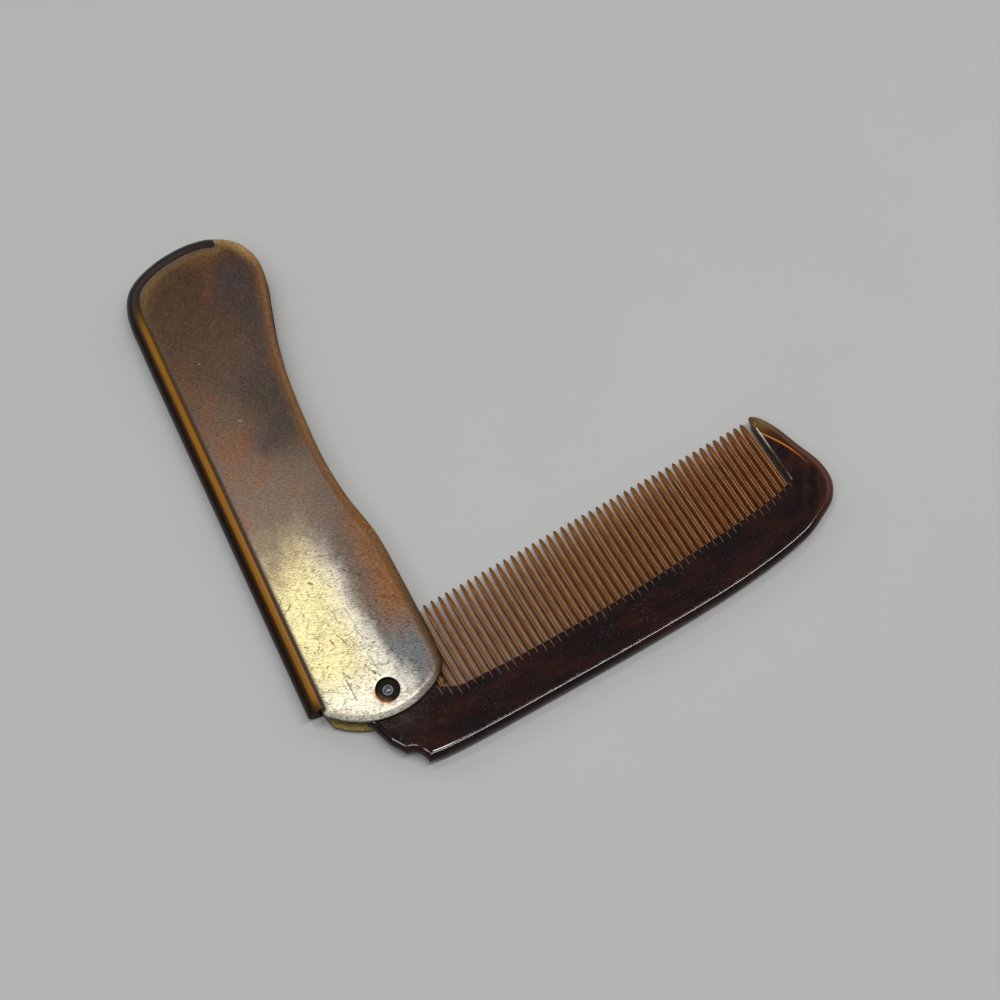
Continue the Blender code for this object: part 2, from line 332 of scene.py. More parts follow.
def toned(tree, share, colour, low, high):
    """A colour multiplied by one tone where the share is 0 and by another where it is 1."""
    dark, light = (blended(tree, 1.0, colour, tone, "MULTIPLY") for tone in (low, high))
    return blended(tree, share, dark, light)


def bumped(tree, shader, height, strength, depth):
    """Joins a Bump node to a shader, its depth given in metres."""
    bump = add(tree, "Bump", {"Height": height, "Strength": strength, "Distance": depth})
    tree.links.new(bump.outputs[0], shader.inputs["Normal"])


def noise(tree, vector, scale, detail=2.0, rough=0.5, distortion=0.0):
    """The value of a Noise texture on a vector."""
    sockets = {"Scale": scale, "Detail": detail, "Roughness": rough, "Distortion": distortion}
    return add(tree, "TexNoise", {"Vector": vector, **sockets}).outputs[0]


def cells(tree, vector, scale):
    """The distance to the middle of the nearest cell of a Voronoi texture."""
    return add(tree, "TexVoronoi", {"Vector": vector, "Scale": scale}).outputs["Distance"]


def stretched(tree, vector, scale, turn=0.0):
    """A vector turned about Z and stretched, in millimetres."""
    turned_one = add(tree, "Mapping", {"Vector": vector, "Rotation": (0, 0, math.radians(turn))}).outputs[0]
    return add(tree, "Mapping", {"Vector": turned_one, "Scale": scale}).outputs[0]


def group(name, inputs, outputs):
    """An empty node group, with its inputs and outputs by name and kind."""
    tree = bpy.data.node_groups.new(name, "ShaderNodeTree")
    for way, sockets in (("INPUT", inputs), ("OUTPUT", outputs)):
        for socket, kind in sockets.items():
            tree.interface.new_socket(socket, in_out=way, socket_type="NodeSocket" + kind)
    return tree, tree.nodes.new("NodeGroupInput").outputs, tree.nodes.new("NodeGroupOutput").inputs


def use(tree, shared, **sockets):
    """The outputs of a shared group, placed in a material with its own values."""
    return add(tree, "Group", sockets, node_tree=shared).outputs


def new_material(name):
    """A material, its tree and its Principled shader."""
    made = bpy.data.materials.new(name)
    made.use_nodes = True
    return made, made.node_tree, made.node_tree.nodes["Principled BSDF"]


def millimetres(tree, turn=0.0):
    """Object coordinates in millimetres from the rivet's axis, unturned by an angle."""
    c, s = math.cos(turn), math.sin(turn)
    x, y, z = PIVOT
    sockets = {
        "Vector": add(tree, "TexCoord").outputs["Object"], "Scale": (1000, 1000, 1000),
        "Rotation": (0, 0, -turn), "Location": (-c * x - s * y, s * x - c * y, -z),
    }
    return add(tree, "Mapping", sockets).outputs[0]


# Fine hairline scratches in three directions, each streak broken into short runs
hairlines, given, out = group(
    "hairline_scratches",
    {"Vector": "Vector", "Amount": "Float"},
    {"Mask": "Float"},
)
streaks = 0.0
for turn, spacing in ((17, 2.6), (-38, 1.9), (71, 2.3)):
    drawn_out = stretched(hairlines, given["Vector"], (0.16, spacing, 1.0), turn)
    wave = maths(hairlines, "SUBTRACT", noise(hairlines, drawn_out, 1.0, 1.0, 0.5, 0.35), 0.5)
    line = between(hairlines, maths(hairlines, "ABSOLUTE", wave), 0.017, 0.0)
    gaps = noise(hairlines, stretched(hairlines, given["Vector"], (0.3, 0.9, 1.0), turn), 1.0)
    streak = times(hairlines, line, between(hairlines, gaps, 0.49, 0.58))
    streaks = maths(hairlines, "MAXIMUM", streaks, streak)
hairlines.links.new(times(hairlines, streaks, given["Amount"]), out["Mask"])

# Dust: small round specks that lie in patches
dust_specks, given, out = group(
    "dust_specks",
    {"Vector": "Vector", "Density": "Float", "Size": "Float", "Patches": "Float"},
    {"Mask": "Float"},
)
specks = between(dust_specks, cells(dust_specks, given["Vector"], given["Density"]), given["Size"], 0.0)
patches = between(dust_specks, noise(dust_specks, given["Vector"], given["Patches"], 3.0), 0.42, 0.6)
dust_specks.links.new(times(dust_specks, specks, patches), out["Mask"])

# One single mark: 1 on the straight line between two points, 0 beyond its half width
single_mark, given, out = group(
    "single_mark",
    {"Vector": "Vector", "From": "Vector", "To": "Vector", "Width": "Float"},
    {"Mask": "Float"},
)
flat = vectors(single_mark, "MULTIPLY", given["Vector"], (1.0, 1.0, 0.0))
run = vectors(single_mark, "SUBTRACT", given["To"], given["From"])
away = vectors(single_mark, "SUBTRACT", flat, given["From"])
along = vectors(single_mark, "DOT_PRODUCT", away, run, "Value")
square = vectors(single_mark, "DOT_PRODUCT", run, run, "Value")
share = add(single_mark, "Clamp", {"Value": maths(single_mark, "DIVIDE", along, square)}).outputs[0]
foot_point = vectors(single_mark, "SCALE", run, Scale=share)
off = vectors(single_mark, "DISTANCE", away, foot_point, "Value")
widths_off = maths(single_mark, "DIVIDE", off, given["Width"])
single_mark.links.new(between(single_mark, widths_off, 1.0, 0.4), out["Mask"])


def worn_and_lit_tortoiseshell():
    """The case's plastic. Colours are mixed by place on the leaf, by mottling and by the distance to
    the edge, and carry a painted reflection, painted glow and painted shade."""
    made, tree, shader = new_material("worn_and_lit_tortoiseshell")
    place = millimetres(tree)
    u, v, z = add(tree, "SeparateXYZ", {0: place}).outputs
    edge = add(tree, "Attribute", attribute_name="edge").outputs["Fac"]
    spine = add(tree, "Attribute", attribute_name="spine").outputs["Fac"]

    wander = noise(tree, place, 0.09, 3.0, 0.6)
    wander_two = noise(tree, stretched(tree, place, (1.0, 0.6, 1.0), 30), 0.13, 3.0, 0.6)
    grain = noise(tree, stretched(tree, place, (1.3, 6.5, 1.0), 6), 1.0, 3.0, 0.65, 0.2)
    fine = noise(tree, place, 6.0, 2.0, 0.7)

    v_warped = maths(tree, "ADD", v, maths(tree, "MULTIPLY_ADD", wander, 22.0, -11.0))
    u_warped = maths(tree, "ADD", u, maths(tree, "MULTIPLY_ADD", wander_two, 8.0, -4.0))
    # The lower third is rubbed, and painted with a reflection of the key lamp: yellow at the left, pale cream
    # at the foot, blue-grey at the right
    rubbed_glare = between(tree, maths(tree, "MULTIPLY_ADD", u, 0.1, v_warped), 40.5, 20.5)

    brown = blended(tree, between(tree, v_warped, 96.0, 40.0), (0.088, 0.048, 0.025), (0.140, 0.100, 0.072))
    red = blended(tree, between(tree, wander_two, 0.48, 0.85), brown, (0.20, 0.070, 0.028))
    blue_share = between(tree, maths(tree, "MULTIPLY_ADD", u, 0.016, wander), 0.48, 0.85)
    blue = blended(tree, blue_share, red, (0.060, 0.050, 0.062))
    dim = times(tree, band(tree, v, 46.0, 56.0, 62.0, 76.0), between(tree, u_warped, -5.0, 2.0))
    blue = blended(tree, times(tree, dim, 0.7), blue, (0.045, 0.032, 0.022))
    # Painted reflection colours of the lamp on the lower third, with violet and rust mottling over them
    yellow_glare = times(tree, between(tree, v, -2.0, 9.0), between(tree, u_warped, 2.0, -5.0))
    glare_colour = blended(tree, yellow_glare, (0.53, 0.50, 0.425), (0.57, 0.50, 0.26))
    pale_glare = times(tree, between(tree, u, 1.0, -6.0), between(tree, v, 7.0, 0.0))
    glare_colour = blended(tree, times(tree, pale_glare, 0.6), glare_colour, (0.74, 0.70, 0.54))
    blue_grey_glare = between(tree, maths(tree, "MULTIPLY_ADD", v, 0.12, u_warped), 1.8, 6.5)
    glare_colour = blended(tree, blue_grey_glare, glare_colour, (0.11, 0.118, 0.122))
    violet = times(tree, between(tree, u_warped, -1.5, 4.5), between(tree, v_warped, 8.0, 20.0))
    glare_colour = blended(tree, violet, glare_colour, (0.12, 0.078, 0.055))
    rust = times(tree, between(tree, u_warped, 4.0, 8.5), between(tree, v, 6.0, 17.0))
    glare_colour = blended(tree, rust, glare_colour, (0.18, 0.075, 0.024))
    body = blended(tree, rubbed_glare, blue, glare_colour)

    # Painted glow: amber light through the thin edges, away from the spine, fading out at the foot
    rim_noise = maths(tree, "MULTIPLY_ADD", wander_two, 1.2, 0.3)
    rim_glow = times(tree, between(tree, edge, 3.0, 0.5), between(tree, spine, 1.6, 4.0))
    rim_glow = times(tree, times(tree, rim_glow, rim_noise), between(tree, v, -5.0, 3.0))
    body = blended(tree, rim_glow, body, (0.22, 0.095, 0.025))
    # Painted highlight: a pale amber line along the edge of the closed end, beyond the notch
    closed_end_glow = times(tree, between(tree, v, 90.0, 97.0), between(tree, spine, 0.8, 1.8))
    body = blended(tree, times(tree, between(tree, edge, 3.1, 1.0), closed_end_glow), body, (0.42, 0.25, 0.09))
    spine_glow = times(tree, between(tree, spine, 5.0, 1.2), between(tree, v, 84.0, 97.0))
    spine_glow = times(tree, spine_glow, between(tree, wander_two, 0.3, 0.6))
    body = blended(tree, times(tree, spine_glow, 0.4), body, (0.22, 0.12, 0.035))
    # Painted highlight: the foot's shoulder is pale, more so on its left
    foot_highlight = times(tree, between(tree, edge, 2.3, 0.7), between(tree, v, 1.5, -3.0))
    foot_highlight = times(tree, foot_highlight, between(tree, u, 5.0, -4.0, 0.25, 0.8))
    body = blended(tree, foot_highlight, body, (0.66, 0.62, 0.50))
    # Painted shade: a dark band on the right shoulder, low on the leaf
    right_shoulder_shade = times(tree, between(tree, edge, 2.0, 0.7), between(tree, u, 8.0, 10.3))
    right_shoulder_shade = times(tree, right_shoulder_shade, between(tree, v, 30.0, 8.0))
    body = blended(tree, times(tree, right_shoulder_shade, 0.75), body, (0.045, 0.026, 0.010))
    lower_leaf = times(tree, between(tree, z, 0.0, -1.0), between(tree, v, 3.0, 0.0))
    body = blended(tree, lower_leaf, body, (0.36, 0.255, 0.05))
    shade = times(tree, between(tree, spine, 1.15, 0.6), between(tree, v, 93.0, 86.0, 0.2, 1.0))
    body = blended(tree, shade, body, (0.06, 0.030, 0.011))
    # Painted shade: a dark line along the very edge
    body = blended(tree, between(tree, edge, 0.3, 0.06), body, (0.035, 0.017, 0.007))

    specks = cells(tree, stretched(tree, place, (1.0, 1.6, 1.0), 25), 1.5)
    speck_field = noise(tree, place, 0.35, 3.0, 0.6)
    specks = times(tree, between(tree, specks, 0.3, 0.12), between(tree, speck_field, 0.40, 0.60))
    scratch = use(tree, hairlines, Vector=place, Amount=1.0)["Mask"]
    dark = times(tree, maths(tree, "MAXIMUM", specks, scratch), maths(tree, "MULTIPLY_ADD", rubbed_glare, 0.8, 0.12))
    body = toned(tree, between(tree, grain, 0.25, 0.75), body, (0.42, 0.42, 0.44), (1.58, 1.56, 1.52))
    body = blended(tree, dark, body, (0.06, 0.035, 0.018))

    marks_dark = [
        ((-6.1, 4.9), (-5.9, 0.6), 0.16), ((-1.1, 4.3), (-0.7, 3.7), 0.22), ((-4.9, 25.0), (-4.5, 24.6), 0.3),
    ]
    marks_pale = [
        ((-6.3, 76.0), (-6.2, 75.9), 0.2), ((-6.9, 42.4), (-6.3, 43.6), 0.05),
        ((-6.3, 41.8), (-5.9, 43.1), 0.05), ((-4.0, 61.4), (-3.3, 60.9), 0.12),
    ]
    for marks, colour in ((marks_dark, (0.03, 0.018, 0.01)), (marks_pale, (0.34, 0.31, 0.27))):
        for start, end, width in marks:
            mask = use(tree, single_mark, Vector=place, From=(*start, 0), To=(*end, 0), Width=width)["Mask"]
            body = blended(tree, times(tree, mask, 0.75), body, colour)
    faint = times(tree, scratch, between(tree, v, 34.0, 48.0))
    body = blended(tree, times(tree, faint, 0.28), body, (0.24, 0.19, 0.14))
    dust = use(tree, dust_specks, Vector=place, Density=1.2, Size=0.11, Patches=0.2)["Mask"]
    body = blended(tree, times(tree, dust, 0.7), body, (0.45, 0.42, 0.38))

    # Painted glow: an orange crescent on the counterbore's lip, on its lower-left side
    side = between(tree, maths(tree, "MULTIPLY_ADD", v, 0.55, u), -0.6, -2.4, 0.04, 1.0)
    lip_glow = times(tree, between(tree, from_axis(tree, u, v), 3.1, 2.35), side)
    body = blended(tree, times(tree, lip_glow, 0.75), body, (0.50, 0.22, 0.085))
    tree.links.new(body, shader.inputs["Base Color"])

    rough = maths(tree, "MULTIPLY_ADD", grain, 0.14, 0.24)
    rough = maths(tree, "MULTIPLY_ADD", dark, 0.3, rough)
    tree.links.new(rough, shader.inputs["Roughness"])
    metal = times(tree, between(tree, edge, 0.6, 2.2, 0.1, 0.6), between(tree, spine, 0.7, 1.6))
    tree.links.new(metal, shader.inputs["Metallic"])
    height = maths(tree, "MULTIPLY_ADD", grain, 0.5, times(tree, fine, 0.35))
    height = maths(tree, "SUBTRACT", height, times(tree, dark, 0.8))
    height = maths(tree, "ADD", height, times(tree, wander_two, 3.0))
    bumped(tree, shader, height, 0.5, 0.00003)
    shader.inputs["Specular IOR Level"].default_value = 0.35
    return made


# The counterbores are painted near black as shade in the recess, mottled, and browner on their lower-left
# side
bore_shade, tree, shader = new_material("counterbore_shade")
place = millimetres(tree)
u, v, z = add(tree, "SeparateXYZ", {0: place}).outputs
grime = noise(tree, place, 2.0, 3.0, 0.6)
low_side = between(tree, maths(tree, "MULTIPLY_ADD", v, 0.9, u), -1.1, -2.6)
colour = blended(tree, between(tree, grime, 0.5, 0.72), (0.006, 0.004, 0.002), (0.030, 0.018, 0.006))
colour = blended(tree, times(tree, low_side, between(tree, grime, 0.3, 0.6)), colour, (0.20, 0.095, 0.03))
tree.links.new(colour, shader.inputs["Base Color"])
shader.inputs["Roughness"].default_value = 0.35
shader.inputs["Specular IOR Level"].default_value = 0.06

tortoiseshell = worn_and_lit_tortoiseshell()
for plate in (front_plate, back_plate):
    plate.data.materials.clear()
    plate.data.materials.append(tortoiseshell)
    plate.data.materials.append(bore_shade)
    centres = np.empty(len(plate.data.polygons) * 3)
    plate.data.polygons.foreach_get("center", centres)
    centres = centres.reshape(-1, 3) * 1000 - PIVOT
    in_bore = np.hypot(centres[:, 0], centres[:, 1]) < BORE_SHADE_WITHIN
    in_bore &= np.abs(centres[:, 2]) < BORE_SHADE_BELOW
    plate.data.polygons.foreach_set("material_index", in_bore.astype(np.int32))
    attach(plate, "case")
    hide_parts("case")


# SPINE OF THE CASE
# A half-round bead, moulded in one with the leaves, closes the straight side and the far end as far
# as the notch. Light through its crest is painted on as an amber line, and its flank is painted almost black
# as shade.
BEAD_RADIUS = 2.95
BEAD_CENTRE = 0.05
BEAD_HALF_ANGLE = 107
WALL_INSIDE = 0.8
LEAF_LAP = -0.86
SLOT_HALF = 1.82
END_STEPS = np.array([0.0, 0.05, 0.16])
END_SHRINK = (0.955, 0.985, 0.985, 0.955)


def make_spine():
    """The bead: the profile (o, z) = r (cos a, sin a), closed along the slot, carried along the spine
    line as p + o n, with n the outward direction, and ended by two flat faces with broken edges."""
    length = lengths(spine_line)
    between_ends = np.linspace(0.4, length[-1] - 0.4, 380)
    stations = np.concatenate([END_STEPS, between_ends, length[-1] - END_STEPS[::-1]])
    path = np.stack([np.interp(stations, length, spine_line[:, k]) for k in (0, 1)], axis=1)
    along = np.gradient(spine_line, axis=0)
    along = np.stack([np.interp(stations, length, along[:, k]) for k in (0, 1)], axis=1)
    along /= np.linalg.norm(along, axis=1)[:, None]
    outward = np.stack([-along[:, 1], along[:, 0]], axis=1)

    a = np.radians(np.linspace(BEAD_HALF_ANGLE, -BEAD_HALF_ANGLE, 56))
    slot = np.array([
        (LEAF_LAP, -SLOT_HALF), (0.0, -SLOT_HALF), (WALL_INSIDE, -SLOT_HALF), (WALL_INSIDE, 0.0),
        (WALL_INSIDE, SLOT_HALF), (0.0, SLOT_HALF), (LEAF_LAP, SLOT_HALF),
    ])
    radius = np.full((len(stations), 1, 1), BEAD_RADIUS)
    radius[[0, 1, -2, -1], 0, 0] *= END_SHRINK
    bead = radius * np.stack([np.cos(a), np.sin(a)], axis=1) + [BEAD_CENTRE, 0.0]
    profile = np.concatenate([bead, np.repeat(slot[None], len(stations), 0)], axis=1)
    flat = path[:, None] + profile[..., :1] * outward[:, None]
    return skin("case_spine", in_row(np.concatenate([flat, profile[..., 1:]], axis=-1)), caps=(0, -1))


spine = make_spine()
place = flat_place(spine)
left_of = distance_to(beside(spine_line, 6.0), place)
note(spine, out=6.0 - left_of, from_end=distance_to(spine_line[:1].repeat(2, 0) + [[-3, 0], [3, 0]], place))

made, tree, shader = new_material("bead_plastic")
place = millimetres(tree)
v = add(tree, "SeparateXYZ", {0: place}).outputs[1]
out_by = add(tree, "Attribute", attribute_name="out").outputs["Fac"]
long_noise = noise(tree, stretched(tree, place, (0.5, 0.08, 0.5)), 1.0, 2.0)
# Painted glow: an amber line along the crest, fading towards both ends
crest_glow = band(tree, out_by, -0.35, 0.25, 0.7, 1.35)
crest_glow = times(tree, crest_glow, between(tree, v, 94.0, 85.0, 0.12, 1.0))
crest_glow = times(tree, crest_glow, maths(tree, "MULTIPLY_ADD", long_noise, 0.7, 0.65))
crest_glow = times(tree, crest_glow, between(tree, v, 2.2, 5.0, 0.1, 1.0))
# Painted shade: the outer flank is darkest
colour = blended(tree, between(tree, out_by, 2.0, 1.2), (0.014, 0.006, 0.003), (0.05, 0.022, 0.006))
colour = blended(tree, crest_glow, colour, (0.30, 0.125, 0.013))
top_end = between(tree, v, 88.0, 97.0)
colour = blended(tree, times(tree, top_end, 0.8), colour, (0.020, 0.019, 0.019))
lint = use(tree, dust_specks, Vector=place, Density=1.6, Size=0.2, Patches=0.4)["Mask"]
lint = times(tree, lint, maths(tree, "MULTIPLY_ADD", top_end, 0.75, 0.04))
colour = blended(tree, lint, colour, (0.16, 0.15, 0.13))
tree.links.new(colour, shader.inputs["Base Color"])
rough = maths(tree, "MULTIPLY_ADD", noise(tree, place, 1.5, 3.0), 0.14, 0.16)
tree.links.new(rough, shader.inputs["Roughness"])
bumped(tree, shader, noise(tree, place, 3.0, 3.0, 0.6), 0.25, 0.00003)
shader.inputs["Specular IOR Level"].default_value = 0.13
spine.data.materials.append(made)

# Its two ends are cut square and left dull, and painted near black as shade
sawn_end, tree, shader = new_material("sawn_bead_end")
dull = noise(tree, millimetres(tree), 1.5, 3.0, 0.6)
colour = blended(tree, between(tree, dull, 0.35, 0.7), (0.012, 0.006, 0.003), (0.030, 0.014, 0.006))
tree.links.new(colour, shader.inputs["Base Color"])
shader.inputs["Roughness"].default_value = 0.6
shader.inputs["Specular IOR Level"].default_value = 0.1
spine.data.materials.append(sawn_end)
corners = np.empty(len(spine.data.polygons), np.int32)
spine.data.polygons.foreach_get("loop_total", corners)
spine.data.polygons.foreach_set("material_index", (corners > 4).astype(np.int32))
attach(spine, "case")
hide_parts("case")


# BODY OF THE COMB
# One moulding in burgundy plastic, 3 mm thick: a polished flat bar with half-round edges, the tang
# with its stop notch, the nose and the wide guard tooth. The saw cuts run out into both its faces.
COMB_TURN = math.radians(4.75)
COMB_HALF = 1.5
BURNISHED_FROM = 1.22
BURNISHED_TO = 1.52
BURNISHED_DROP = 0.036
GUARD_BEVEL = 0.3
GUARD_SLOPE = 0.25
CUT_HALF_WIDTH = 0.13
CUT_END_HALF_WIDTH = 0.05
CUT_START = 0.6
CUT_LENGTH = 1.7
CUT_LENGTH_SPREAD = 0.6
CUT_DEEP, CUT_SHALLOW, CUT_TOP = 1.36, 1.49, 1.7
ROOT_LINE = [(8.2, -4.0), (12.7, -5.8), (41.7, -6.9), (70.5, -5.95), (83.5, -4.8), (87.6, -3.5)]
NOSE_AND_SPINE = [
    (87.6, 10.3), (88.2, 11.8), (89.8, 10.6), (91.6, 7.2), (93.3, 1.8), (94.8, -3.0), (94.7, -7.3),
    (92.6, -10.6), (89.1, -12.6), (84.0, -14.6), (74.0, -16.1), (62.0, -16.8), (45.0, -16.85),
    (25.0, -16.45), (12.0, -16.1), (4.0, -15.6), (0.2, -15.0),
]
STOP_NOTCH = [(0.2, -15.0), (-0.2, -13.4), (-1.2, -12.1), (-2.7, -11.5)]
TANG_EDGE = [(-2.7, -11.5), (-4.5, -8.5), (-5.85, -4.1)]
TANG_RADIUS = 7.15
FIRST_TOOTH = 9.11
TOOTH_PITCH = 1.6
TOOTH_COUNT = 49
TIP_LINE = 11.4
HOLE_PROFILE = [(0.0, -2.5), (HOLE_RADIUS, -2.5), (HOLE_RADIUS, 2.5), (0.0, 2.5)]
GLOW_ARC = [
    (87.7, 7.6), (88.5, 6.55), (89.4, 5.1), (90.25, 3.6), (91.0, 1.9), (91.7, -0.1), (92.2, -2.3),
]


def evenly(line, spacing):
    """The same line with points an even spacing apart. Its first two columns give the length along it,
    and all its columns are read off by that length."""
    length = lengths(line[:, :2])
    stations = np.linspace(0, length[-1], max(2, int(round(length[-1] / spacing)) + 1))
    return np.stack([np.interp(stations, length, column) for column in line.T], axis=1)


def with_heart(line, heart):
    """A line with, beside each point, the point of the body's middle line that its ring closes on. The
    heart table is read off evenly along the line's own number of points."""
    at = np.linspace(0, len(heart) - 1, len(line))
    table = np.array(heart, float)
    return np.column_stack([line] + [np.interp(at, np.arange(len(heart)), table[:, k]) for k in (0, 1)])


def turned_comb(points):
    """Points of the comb's own table turned to where the comb stands: (x c - y s, x s + y c)."""
    c, s = math.cos(COMB_TURN), math.sin(COMB_TURN)
    x, y, z = np.moveaxis(points, -1, 0)
    return in_row(np.stack([c * x - s * y, s * x + c * y, z], axis=-1))


ROOT_HEART = [(3.6, -8.6), (12.7, -11.1), (41.7, -11.9), (70.5, -11.1), (83.5, -9.6), (89.2, -7.2)]
NOSE_HEART = [
    (88.5, 9.6), (88.5, 9.6), (88.6, 9.0), (89.2, 5.6), (89.9, 0.8), (90.2, -3.6), (89.4, -6.7),
    (88.2, -8.0), (86.4, -8.9), (82.6, -9.7), (74.0, -10.8), (62.0, -11.4), (45.0, -11.9),
    (25.0, -11.5), (12.0, -11.05), (5.4, -9.6), (3.4, -8.5),
]
root_line = smooth_run(ROOT_LINE, 12)
tang = arc((0.0, 0.0), TANG_RADIUS, 215, 5, 60)
tang_sides = [
    with_heart(np.array(TANG_EDGE), [(1.9, -7.0), (1.4, -4.6), (0.9, -2.4)]),
    with_heart(tang, [(0.9, -2.4), (0.5, -0.8), (0.9, -1.0), (1.7, -3.4)]),
    with_heart(np.array([tang[-1], ROOT_LINE[0]]), [(1.7, -3.4), ROOT_HEART[0]]),
]
runs = [
    (np.vstack(tang_sides), 0.25),
    (with_heart(root_line, ROOT_HEART), 0.3),
    (with_heart(np.array([ROOT_LINE[-1], NOSE_AND_SPINE[0]]), [ROOT_HEART[-1], NOSE_HEART[0]]), 0.3),
    (with_heart(smooth_run(NOSE_AND_SPINE, 12), NOSE_HEART), 0.25),
    (with_heart(smooth_run(STOP_NOTCH, 8), [NOSE_HEART[-1], (2.9, -8.0), (2.4, -7.5), (1.9, -7.0)]), 0.2),
]
comb_outline = np.vstack([evenly(*run)[:-1] for run in runs])
guard_edge, nose_edge = runs[2][0][:, :2], runs[3][0][:, :2]
round_edge = np.vstack([line[:, :2] for line in (runs[3][0], runs[4][0], *tang_sides[:2])])


def make_comb_body():
    """The body: rings from the outline towards the middle line, at height z = h sqrt(1 - (1 - d/r)^2), d
    being the distance to the round edges, then up a narrow burnished slope to the flat of each face.
    The guard tooth has a narrow bevel towards the other teeth."""
    outline, heart = comb_outline[:, :2], comb_outline[:, 2:]
    reach = np.linalg.norm(heart - outline, axis=1)
    steps = np.array([0.0, 0.02, 0.07, 0.15, 0.27, 0.43, 0.62, 0.85, 1.05, 1.2, 1.24, 1.5, 1.54, 2.4])
    share = steps[:, None] * np.minimum(1, 0.85 * reach / steps[-1]) / reach
    rings = outline + share[..., None] * (heart - outline)
    d = distance_to(round_edge, rings.reshape(-1, 2)).reshape(rings.shape[:2])
    wall = np.sqrt(1 - (1 - np.clip(d / BURNISHED_FROM, 0, 1)) ** 2)
    z = COMB_HALF - BURNISHED_DROP * np.clip((BURNISHED_TO - d) / (BURNISHED_TO - BURNISHED_FROM), 0, 1)
    z = np.where(d < BURNISHED_FROM, (COMB_HALF - BURNISHED_DROP) * wall, z)
    beside_teeth = distance_to(guard_edge, rings.reshape(-1, 2)).reshape(rings.shape[:2])
    z -= GUARD_SLOPE * np.clip(GUARD_BEVEL - beside_teeth, 0, 1) * wall
    z[0] = np.where(d[0] < 0.05, 0.0, z[0])
    upper = np.concatenate([rings, z[..., None]], axis=-1)
    return skin("comb_body", turned_comb(np.concatenate([upper[::-1], upper * [1, 1, -1]])), caps=(0, -1))


def make_saw_cuts():
    """The run-outs of the cuts: in each gap a wedge on either face, deepest at the root line. Each is
    a box of 8 corners whose floor slopes up to the face."""
    gap = FIRST_TOOTH + TOOTH_PITCH * (np.arange(TOOTH_COUNT + 1) - 0.5)
    root = np.interp(gap, root_line[:, 0], root_line[:, 1])
    half = np.array([CUT_HALF_WIDTH, CUT_HALF_WIDTH, CUT_END_HALF_WIDTH, CUT_END_HALF_WIDTH])
    x = gap[:, None, None] + np.stack([-half, half])[None]
    length = CUT_LENGTH + CUT_LENGTH_SPREAD * np.sin(7.3 * np.arange(len(gap)))
    y = root[:, None, None] + CUT_START * np.array([1, 1, 0, 0])
    y = y - length[:, None, None] * np.array([0, 0, 1, 1])
    z = np.array([CUT_DEEP, CUT_TOP, CUT_TOP, CUT_SHALLOW])[None, None]
    corners = np.stack(np.broadcast_arrays(x, y, z), axis=-1)
    corners = np.concatenate([corners, corners * [1, 1, -1]])
    faces = np.array([(0, 1, 2, 3), (7, 6, 5, 4), (0, 4, 5, 1), (1, 5, 6, 2), (2, 6, 7, 3), (3, 7, 4, 0)])
    faces = (np.arange(len(corners))[:, None, None] * 8 + faces).reshape(-1, 4)
    mesh = bpy.data.meshes.new("saw_cuts")
    mesh.from_pydata(turned_comb(corners).reshape(-1, 3).tolist(), [], faces.tolist())
    return tidied("saw_cuts", mesh)


comb_body = cut(make_comb_body(), make_saw_cuts())
comb_body = cut(comb_body, turned("hole", HOLE_PROFILE, 48))
place = flat_place(comb_body, COMB_TURN)
note(comb_body, outer=distance_to(nose_edge, place), root=distance_to(root_line, place))

made, tree, shader = new_material("burgundy_plastic")
place = millimetres(tree, COMB_TURN)
x, y, z = add(tree, "SeparateXYZ", {0: place}).outputs
from_middle = maths(tree, "ABSOLUTE", z)
outer = add(tree, "Attribute", attribute_name="outer").outputs["Fac"]
root = add(tree, "Attribute", attribute_name="root").outputs["Fac"]
cloud = noise(tree, stretched(tree, place, (0.5, 1.4, 1.0), 4), 0.22, 4.0, 0.6)
colour = blended(tree, between(tree, cloud, 0.4, 0.7), (0.0075, 0.0028, 0.0025), (0.026, 0.0058, 0.0038))
sand = noise(tree, place, 4.2, 3.0, 0.7)
colour = blended(tree, between(tree, sand, 0.55, 0.75), colour, (0.040, 0.015, 0.012))
nose = between(tree, maths(tree, "MULTIPLY_ADD", y, 0.25, x), 80.0, 93.0)
curls = {"Scale": 1.0, "Distortion": 5.0, "Detail": 2.0}
swirl = add(tree, "TexWave", {"Vector": stretched(tree, place, (0.10, 0.2, 1.0), 35), **curls}).outputs[1]
swirled = times(tree, nose, between(tree, swirl, 0.3, 1.0, 0.0, 0.5))
colour = blended(tree, swirled, colour, (0.05, 0.014, 0.006))
guard = times(tree, between(tree, y, -3.0, 2.0), between(tree, x, 86.0, 88.0))
colour = blended(tree, times(tree, guard, between(tree, outer, 1.7, 1.1)), colour, (0.085, 0.050, 0.012))
glow_line = 0.0
for start, end in zip(GLOW_ARC[:-1], GLOW_ARC[1:]):
    mask = use(tree, single_mark, Vector=place, From=(*start, 0), To=(*end, 0), Width=0.24)["Mask"]
    glow_line = maths(tree, "MAXIMUM", glow_line, mask)
glow_line = times(tree, glow_line, between(tree, y, -2.4, 2.5, 0.12, 1.0))
colour = blended(tree, glow_line, colour, (0.55, 0.17, 0.03))
